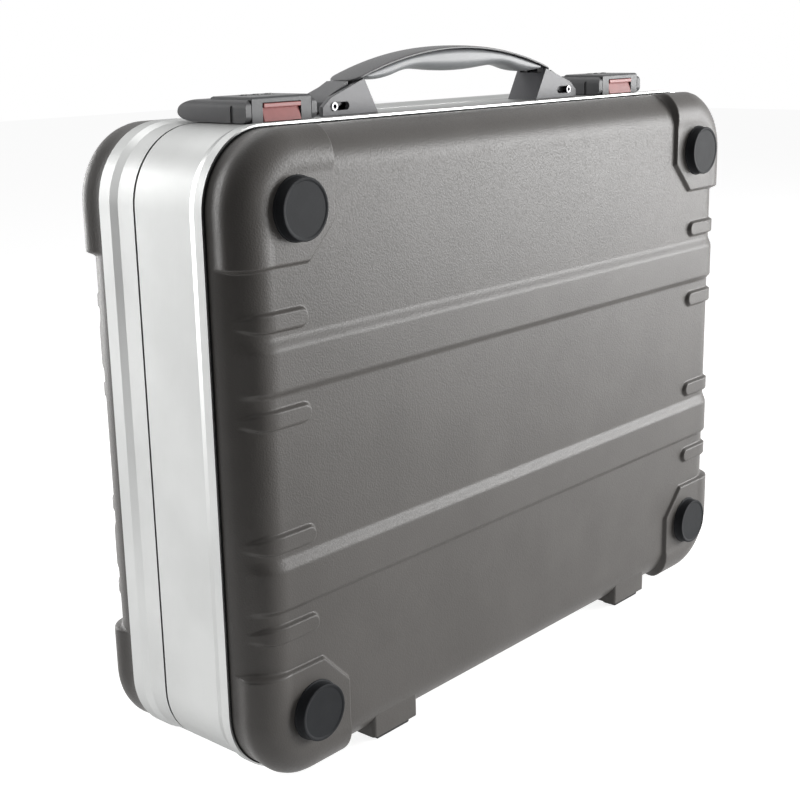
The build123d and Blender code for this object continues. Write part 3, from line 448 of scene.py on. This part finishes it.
for name in nodes:
    if "bumper" in name:
        makeBumper(name, -1 if name.startswith("front") else 1)
print("bumpers turned")


# Moulded and machined pieces keep their solids' shape and get soft edges; widths in millimetres
edgeWidths = {
    "base_frame": 0.35, "lid_frame": 0.35, "base_feet": 1.0, "lid_feet": 1.0,
    "latch_body": 0.5, "hasp": 0.9, "latch_button": 0.45, "keeper": 0.2,
    "handle_bracket": 0.5, "handle_link": 0.7,
    "base_hinge_leaf": 0.3, "lid_hinge_leaf": 0.3, "hinge_pin": 0.25, "handle_tube": 0.12,
    "stay_base_link": 0.3, "stay_lid_link": 0.3, "front_foot_pad": 0.4, "rear_foot_pad": 0.4,
}


def softenEdges(name, width):
    shape = bmesh.new()
    shape.from_mesh(nodes[name].data)
    bmesh.ops.remove_doubles(shape, verts=shape.verts, dist=1e-6)
    bmesh.ops.dissolve_limit(shape, angle_limit=math.radians(1.5), verts=shape.verts, edges=shape.edges)
    sharp = [edge for edge in shape.edges if edge.is_manifold and edge.calc_face_angle(0.0) > math.radians(32)]
    bmesh.ops.bevel(shape, geom=sharp, offset=width * mm, segments=3, profile=0.5, affect="EDGES",
                    clamp_overlap=True, offset_type="OFFSET")
    for edge in shape.edges:  # sharp at real edges, and at the shallow folds of the frame's channel
        if edge.is_manifold:
            angle = edge.calc_face_angle(0.0)
            fold = abs(edge.link_faces[0].normal.y - edge.link_faces[1].normal.y)
            edge.smooth = angle < math.radians(34) and not (name.endswith("_frame") and fold > 0.1)
    piece = newPiece(name + "Soft", meshFrom(name, shape), name)
    weigh = piece.modifiers.new("crispFlats", "WEIGHTED_NORMAL")
    weigh.keep_sharp = True


for name in nodes:
    for family, width in edgeWidths.items():
        if name == family or name in (family + "_left", family + "_right"):
            softenEdges(name, width)
print("edges softened")


# Handle: a thin crowned strap over a soft grip, drawn as sections along X; sizes in millimetres from the deck
handleForm = {
    "deck": 368.3, "middleY": -2.3,
    "strapHalf": 101.0, "strapTop": 37.2, "strapEndTop": 19.5, "strapThickness": 1.9, "strapWidth": 23.8,
    "strapCorner": 10.0, "strapCrown": 0.9,
    "pivotX": 94.5, "pivotZ": 15.5, "pinRadius": 1.5, "eyeRadius": 3.0, "lugWidth": 4.4, "lugMiddle": 6.4,
    "gripHalf": 88.0, "gripWidth": 21.2, "gripLowerRound": 2.35, "gripUpperRound": 5.0,
    "gripLower": ((88.0, 20.6), (84.0, 19.4), (74.0, 18.9), (64.0, 20.1), (54.0, 22.6), (44.0, 23.9),
                  (34.0, 23.7), (18.0, 22.4), (0.0, 21.8)),
    "gripStations": 90, "sectionPoints": 36, "strapStations": 60, "strapPoints": 14,
}


def strapHeight(x, top):  # circular arch through the strap's ends and middle
    form = handleForm
    rise = form["strapTop"] - form["strapEndTop"]
    radius = (form["strapHalf"] ** 2 + rise ** 2) / (2 * rise)
    return top - radius + math.sqrt(radius ** 2 - x ** 2)


def gripLower(x):  # smooth curve through the listed heights under the grip
    points = sorted(handleForm["gripLower"])
    x = abs(x)
    for k in range(len(points) - 1):
        if x <= points[k + 1][0] or k == len(points) - 2:
            break
    before = points[k - 1] if k else (-points[1][0], points[1][1])
    after = points[k + 2] if k + 2 < len(points) else points[k + 1]
    (x0, z0), (x1, z1) = points[k], points[k + 1]
    slope0 = (z1 - before[1]) / (x1 - before[0])
    slope1 = (after[1] - z0) / (after[0] - x0)
    span = x1 - x0
    t = (x - x0) / span
    return ((2 * t ** 3 - 3 * t ** 2 + 1) * z0 + (t ** 3 - 2 * t ** 2 + t) * span * slope0
            + (-2 * t ** 3 + 3 * t ** 2) * z1 + (t ** 3 - t ** 2) * span * slope1)


def loft(name, sections, *standsFor):  # closed surface through rings of points, in millimetres
    shape = bmesh.new()
    rings = [[shape.verts.new([v * mm for v in point]) for point in section] for section in sections]
    joinLoops(shape, rings)
    shape.faces.new(rings[0])
    shape.faces.new(rings[-1])
    bmesh.ops.recalc_face_normals(shape, faces=shape.faces)
    mesh = meshFrom(name, shape)
    mesh.set_sharp_from_angle(angle=math.radians(50))
    return newPiece(name, mesh, *standsFor)


def roundedSection(x, low, high, half, lowerRound, upperRound):  # ring across X, superellipse halves
    form = handleForm
    middle, tall = (low + high) / 2, (high - low) / 2
    ring = []
    for k in range(form["sectionPoints"]):
        t = 2 * math.pi * k / form["sectionPoints"]
        power = 2 / (upperRound if math.sin(t) > 0 else lowerRound)
        c, s = math.cos(t), math.sin(t)
        ring.append((x, form["middleY"] + half * math.copysign(abs(c) ** power, c),
                     form["deck"] + middle + tall * math.copysign(abs(s) ** power, s)))
    return ring


def makeGrip():
    form = handleForm
    sections = []
    count = form["gripStations"]
    for k in range(count + 1):
        x = -form["gripHalf"] * math.cos(math.pi * k / count)
        high = strapHeight(x, form["strapTop"] - form["strapThickness"]) + 0.02
        low = min(gripLower(x), high - 1.0)
        nearEnd = min(1.0, (form["gripHalf"] - abs(x)) / 3.0)
        half = form["gripWidth"] / 2 - 1.2 * (1 - math.sqrt(max(0.0, 1 - (1 - nearEnd) ** 2)))
        sections.append(roundedSection(x, low, high, half, form["gripLowerRound"], form["gripUpperRound"]))
    loft("handleGripSoft", sections, "handle_grip")


def makeStrap():
    form = handleForm
    half, corner = form["strapHalf"], form["strapCorner"]
    count, points = form["strapStations"], form["strapPoints"]
    stationsX = [half * math.sin(math.pi / 2 * k / count) for k in range(-count, count + 1)]
    rings = []
    for x in stationsX:
        past = max(0.0, abs(x) - (half - corner))
        narrow = corner - math.sqrt(max(0.0, corner ** 2 - past ** 2))
        wide = max(form["strapWidth"] / 2 - narrow, 0.6)
        top = strapHeight(x, form["strapTop"])
        low = strapHeight(x, form["strapTop"] - form["strapThickness"])
        ring = []
        for k in range(points + 1):
            y = wide * math.cos(math.pi * k / points)
            crown = form["strapCrown"] * (1 - math.sqrt(max(0.0, 1 - (y / wide) ** 2)))
            ring.append((x, form["middleY"] + y, form["deck"] + top - crown))
        ring.append((x, form["middleY"] - wide, form["deck"] + low + 0.25))
        ring.append((x, form["middleY"] - wide + 0.4, form["deck"] + low))
        ring.append((x, form["middleY"] + wide - 0.4, form["deck"] + low))
        ring.append((x, form["middleY"] + wide, form["deck"] + low + 0.25))
        rings.append(ring)
    strap = loft("handleStrapThin", rings, "handle_strap")
    joined = bmesh.new()
    joined.from_mesh(strap.data)
    for hand in (-1, 1):
        for middle in (-form["lugMiddle"], form["lugMiddle"]):
            addLug(joined, hand * form["pivotX"], form["middleY"] + middle)
    bmesh.ops.recalc_face_normals(joined, faces=joined.faces)
    for face in joined.faces:
        face.smooth = True
    joined.to_mesh(strap.data)
    joined.free()
    strap.data.set_sharp_from_angle(angle=math.radians(50))


def addLug(shape, pivotX, middleY):  # eye under the strap, with its hole for the link's pin
    form = handleForm
    eye, hole = form["eyeRadius"], form["pinRadius"]
    outline = [(eye * math.cos(t), eye * math.sin(t)) for t in (math.pi * (1 + k / 20) for k in range(21))]
    for k in range(9):
        x = eye * (1 - k / 4)
        top = strapHeight(pivotX + x, form["strapTop"] - form["strapThickness"] / 2)
        outline.append((x, top - form["pivotZ"]))
    inner = [(hole * x / math.hypot(x, z), hole * z / math.hypot(x, z)) for x, z in outline]
    rounds = [(inner, 1.0), (outline, 1.0), (outline, -1.0), (inner, -1.0)]
    loops = []
    for points, sign in rounds:
        y = middleY + sign * form["lugWidth"] / 2
        loops.append([shape.verts.new(((pivotX + x) * mm, y * mm, (form["deck"] + form["pivotZ"] + z) * mm))
                      for x, z in points])
    joinLoops(shape, loops + loops[:1])


makeGrip()
makeStrap()
print("handle lofted")


# Number wheels: ten shallow fields with a plain digit in each, in millimetres
dialForm = {"radius": 6.3, "fieldDepth": 0.22, "ridge": 0.16, "width": 5.0, "edge": 0.35, "steps": 120,
            "digitSize": 4.0, "digitHeight": 0.12, "turn": 16.0}


def digitMeshes():
    made = []
    for number in range(10):
        curve = bpy.data.curves.new(f"digit{number}", "FONT")
        curve.body = str(number)
        curve.align_x = "CENTER"
        curve.align_y = "CENTER"
        curve.size = dialForm["digitSize"] * mm
        curve.extrude = dialForm["digitHeight"] / 2 * mm
        curve.resolution_u = 3
        holder = bpy.data.objects.new(f"digit{number}", curve)
        bpy.context.scene.collection.objects.link(holder)
        made.append(plainCopy(holder))
        bpy.data.objects.remove(holder)
    return made


def makeDial(name, digits):
    form = dialForm
    low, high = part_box(name)
    centre = (low + high) / 2
    shape = bmesh.new()
    rings = []
    for inset, x in ((form["edge"], -1), (0, -1 + 2 * form["edge"] / form["width"]),
                     (0, 1 - 2 * form["edge"] / form["width"]), (form["edge"], 1)):
        ring = []
        for k in range(form["steps"]):
            t = 2 * math.pi * k / form["steps"]
            share = 10 * (k / form["steps"] - 0.25 - form["turn"] / 360) + 0.5
            phase = abs(share % 1 - 0.5) * 2  # 1 on a ridge, 0 in the middle of a field
            depth = form["fieldDepth"] * ease((1 - phase) / form["ridge"] / 2)
            r = (form["radius"] - inset - depth) * mm
            ring.append(shape.verts.new((centre.x + x * form["width"] / 2 * mm, centre.y + r * math.cos(t),
                                         centre.z + r * math.sin(t))))
        rings.append(ring)
    joinLoops(shape, rings)
    shape.faces.new(rings[0])
    shape.faces.new(rings[-1])
    bmesh.ops.recalc_face_normals(shape, faces=shape.faces)
    for face in shape.faces:
        face.smooth = len(face.verts) == 4
    radius = (form["radius"] - form["fieldDepth"] + form["digitHeight"] / 2) * mm
    for number, digit in enumerate(digits):
        turn = math.radians(36 * number + form["turn"])
        place = Matrix.Translation(centre) @ Matrix.Rotation(turn, 4, "X") @ Matrix.Translation((0, 0, radius))
        start = len(shape.verts)
        faces = len(shape.faces)
        shape.from_mesh(digit)
        shape.verts.ensure_lookup_table()
        shape.faces.ensure_lookup_table()
        bmesh.ops.transform(shape, matrix=place, verts=shape.verts[start:])
        for face in shape.faces[faces:]:
            face.material_index = 1
    mesh = bpy.data.meshes.new(name)
    shape.to_mesh(mesh)
    shape.free()
    mesh.materials.append(finishes["dial"])
    mesh.materials.append(finishes["digit"])
    mesh.set_sharp_from_angle(angle=math.radians(40))
    newPiece(name + "Numbered", mesh, name)


digits = digitMeshes()
for name in nodes:
    if name.startswith("dial_") and name != "dial_axles":
        makeDial(name, digits)
print("number wheels made")


# Rivet heads, repeated by geometry nodes; sizes in millimetres
rivetForm = {"radius": 2.6, "height": 1.2, "hingeRadius": 2.8, "hingeHeight": 0.9, "seed": 4}


def rivetTree():
    tree = bpy.data.node_groups.new("rivetHeads", "GeometryNodeTree")
    face = tree.interface
    face.new_socket(name="Geometry", in_out="INPUT", socket_type="NodeSocketGeometry")
    for label in ("Radius", "Height"):
        face.new_socket(name=label, in_out="INPUT", socket_type="NodeSocketFloat")
    face.new_socket(name="Turn", in_out="INPUT", socket_type="NodeSocketVector")
    face.new_socket(name="Seed", in_out="INPUT", socket_type="NodeSocketInt")
    face.new_socket(name="Finish", in_out="INPUT", socket_type="NodeSocketMaterial")
    face.new_socket(name="Geometry", in_out="OUTPUT", socket_type="NodeSocketGeometry")
    start = addNode(tree, "NodeGroupInput").outputs
    ball = addNode(tree, "GeometryNodeMeshUVSphere", Segments=24, Rings=12, Radius=1.0)
    size = addNode(tree, "ShaderNodeCombineXYZ", X=start["Radius"], Y=start["Radius"], Z=start["Height"])
    dome = addNode(tree, "GeometryNodeTransform", Geometry=ball.outputs[0], Scale=size.outputs[0])
    vary = addNode(tree, "FunctionNodeRandomValue", {"data_type": "FLOAT"}, _2=0.985, _3=1.015, Seed=start["Seed"])
    heads = addNode(tree, "GeometryNodeInstanceOnPoints", Points=start["Geometry"], Instance=dome.outputs[0],
                    Rotation=start["Turn"], Scale=vary.outputs[1])
    solid = addNode(tree, "GeometryNodeRealizeInstances", Geometry=heads.outputs[0])
    painted = addNode(tree, "GeometryNodeSetMaterial", Geometry=solid.outputs[0], Material=start["Finish"])
    addNode(tree, "NodeGroupOutput", Geometry=painted.outputs[0])
    return tree


def rivetHeads(tree, places, radius, height, turn):
    points = bpy.data.meshes.new("rivetPlaces")
    points.from_pydata(places, [], [])
    holder = bpy.data.objects.new("rivetPlaces", points)
    bpy.context.scene.collection.objects.link(holder)
    modifier = holder.modifiers.new("rivetHeads", "NODES")
    modifier.node_group = tree
    settings = {"Radius": radius * mm, "Height": height * mm, "Turn": turn, "Seed": rivetForm["seed"],
                "Finish": finishes["rivet"]}
    for item in tree.interface.items_tree:
        if item.in_out == "INPUT" and item.name in settings:
            modifier[item.identifier] = settings[item.name]
    mesh = plainCopy(holder)
    bpy.data.objects.remove(holder)
    return mesh


def makeRivets(name, tree):
    form = rivetForm
    shape = bmesh.new()
    shape.from_mesh(nodes[name].data)
    bmesh.ops.remove_doubles(shape, verts=shape.verts, dist=1e-6)
    flangeY, hingeZ = [], []
    seen = set()
    while len(seen) < len(shape.verts):  # each rivet is one island of the solid's mesh
        island = [next(v for v in shape.verts if v.index not in seen)]
        seen.add(island[0].index)
        for v in island:
            for edge in v.link_edges:
                other = edge.other_vert(v)
                if other.index not in seen:
                    seen.add(other.index)
                    island.append(other)
        low = Vector([min(v.co[i] for v in island) for i in range(3)])
        high = Vector([max(v.co[i] for v in island) for i in range(3)])
        middle = (low + high) / 2
        if high.z - low.z < high.x - low.x + 1e-4:
            flangeY += [(middle.x, low.y + form["height"] * mm, middle.z),
                        (middle.x, high.y - form["height"] * mm, middle.z)]
        else:
            hingeZ += [(middle.x, middle.y, low.z + form["hingeHeight"] * mm),
                       (middle.x, middle.y, high.z - form["hingeHeight"] * mm)]
    quarter = math.pi / 2
    whole = bmesh.new()
    whole.from_mesh(rivetHeads(tree, flangeY, form["radius"], form["height"], (quarter, 0, 0)))
    whole.from_mesh(rivetHeads(tree, hingeZ, form["hingeRadius"], form["hingeHeight"], (0, 0, 0)))
    shape.free()
    newPiece(name + "Heads", meshFrom(name, whole), name)


tree = rivetTree()
for name in ("base_rivets", "lid_rivets"):
    makeRivets(name, tree)
print("rivets set")


# Floor, background and light. Rays meet a white floor and world, which fall off on the camera's side
stage = {
    "floorSize": 6.0,
    "floorColour": "d8d8d8",
    "floorGlow": 0.86,  # its own light for the camera, on top of the light that falls on it
    "worldFill": 0.14,
    "cameraSide": (-0.77, -0.64, 0.0),
    "floorFade": (0.35, 0.60),  # in metres towards the camera
    "worldFade": (0.35, 0.80),
    "keyBox": {"place": (1.62, -1.35, 0.22), "aim": (0.0, 0.0, 0.16), "size": (1.3, 1.5), "power": 76},
    "leftBox": {"place": (-0.45, 1.35, 0.45), "aim": (-0.2, 0, 0.2), "size": (0.7, 0.9), "power": 15},
    "topBox": {"place": (0.1, 0.5, 1.4), "aim": (0, 0, 0.3), "size": (1.0, 0.8), "power": 3},
}


def seenWhite(tree, vector, fade):  # 1 for rays that should meet the white background, 0 for the light itself
    paths = addNode(tree, "ShaderNodeLightPath").outputs
    direct = addNode(tree, "ShaderNodeMath", {"operation": "MAXIMUM"}, _0=paths["Is Camera Ray"],
                     _1=paths["Is Glossy Ray"])
    seen = addNode(tree, "ShaderNodeMath", {"operation": "MAXIMUM"}, _0=direct.outputs[0],
                   _1=paths["Is Transmission Ray"])
    along = addNode(tree, "ShaderNodeVectorMath", {"operation": "DOT_PRODUCT"}, _0=vector, _1=stage["cameraSide"])
    share = addNode(tree, "ShaderNodeMapRange", Value=along.outputs["Value"], From_Min=fade[0], From_Max=fade[1],
                    To_Min=1.0, To_Max=0.05)
    return addNode(tree, "ShaderNodeMath", {"operation": "MULTIPLY"}, _0=seen.outputs[0],
                   _1=share.outputs[0]).outputs[0]


half = stage["floorSize"]
floorMesh = bpy.data.meshes.new("floor")
corners = [(-half, -half, 0), (half, -half, 0), (half, half, 0), (-half, half, 0)]
floorMesh.from_pydata(corners, [], [(0, 1, 2, 3)])
floor = bpy.data.objects.new("floor", floorMesh)
bpy.context.scene.collection.objects.link(floor)
paleFloor = bpy.data.materials.new("paleFloor")
paleFloor.use_nodes = True
tree = paleFloor.node_tree
tree.nodes.clear()
place = addNode(tree, "ShaderNodeTexCoord").outputs["Object"]
seen = seenWhite(tree, place, stage["floorFade"])
glowing = addNode(tree, "ShaderNodeMath", {"operation": "MULTIPLY"}, _0=seen, _1=stage["floorGlow"])
matt = addNode(tree, "ShaderNodeBsdfDiffuse", Color=hexColour(stage["floorColour"]))
glow = addNode(tree, "ShaderNodeEmission", Strength=glowing.outputs[0])
both = addNode(tree, "ShaderNodeAddShader", _0=matt.outputs[0], _1=glow.outputs[0])
addNode(tree, "ShaderNodeOutputMaterial", Surface=both.outputs[0])
floorMesh.materials.append(paleFloor)

world = bpy.data.worlds.new("studio")
bpy.context.scene.world = world
world.use_nodes = True
tree = world.node_tree
tree.nodes.clear()
way = addNode(tree, "ShaderNodeTexCoord").outputs["Generated"]
strength = addNode(tree, "ShaderNodeMapRange", Value=seenWhite(tree, way, stage["worldFade"]),
                   To_Min=stage["worldFill"], To_Max=1.0)
background = addNode(tree, "ShaderNodeBackground", Color=(1, 1, 1, 1), Strength=strength.outputs[0])
addNode(tree, "ShaderNodeOutputWorld", Surface=background.outputs[0])

for name in ("keyBox", "leftBox", "topBox"):
    lamp = stage[name]
    data = bpy.data.lights.new(name, "AREA")
    data.shape = "RECTANGLE"
    data.size, data.size_y = lamp["size"]
    data.energy = lamp["power"]
    box = bpy.data.objects.new(name, data)
    bpy.context.scene.collection.objects.link(box)
    box.location = lamp["place"]
    box.rotation_euler = (Vector(lamp["aim"]) - Vector(lamp["place"])).to_track_quat("-Z", "Y").to_euler()
print("stage and light set")
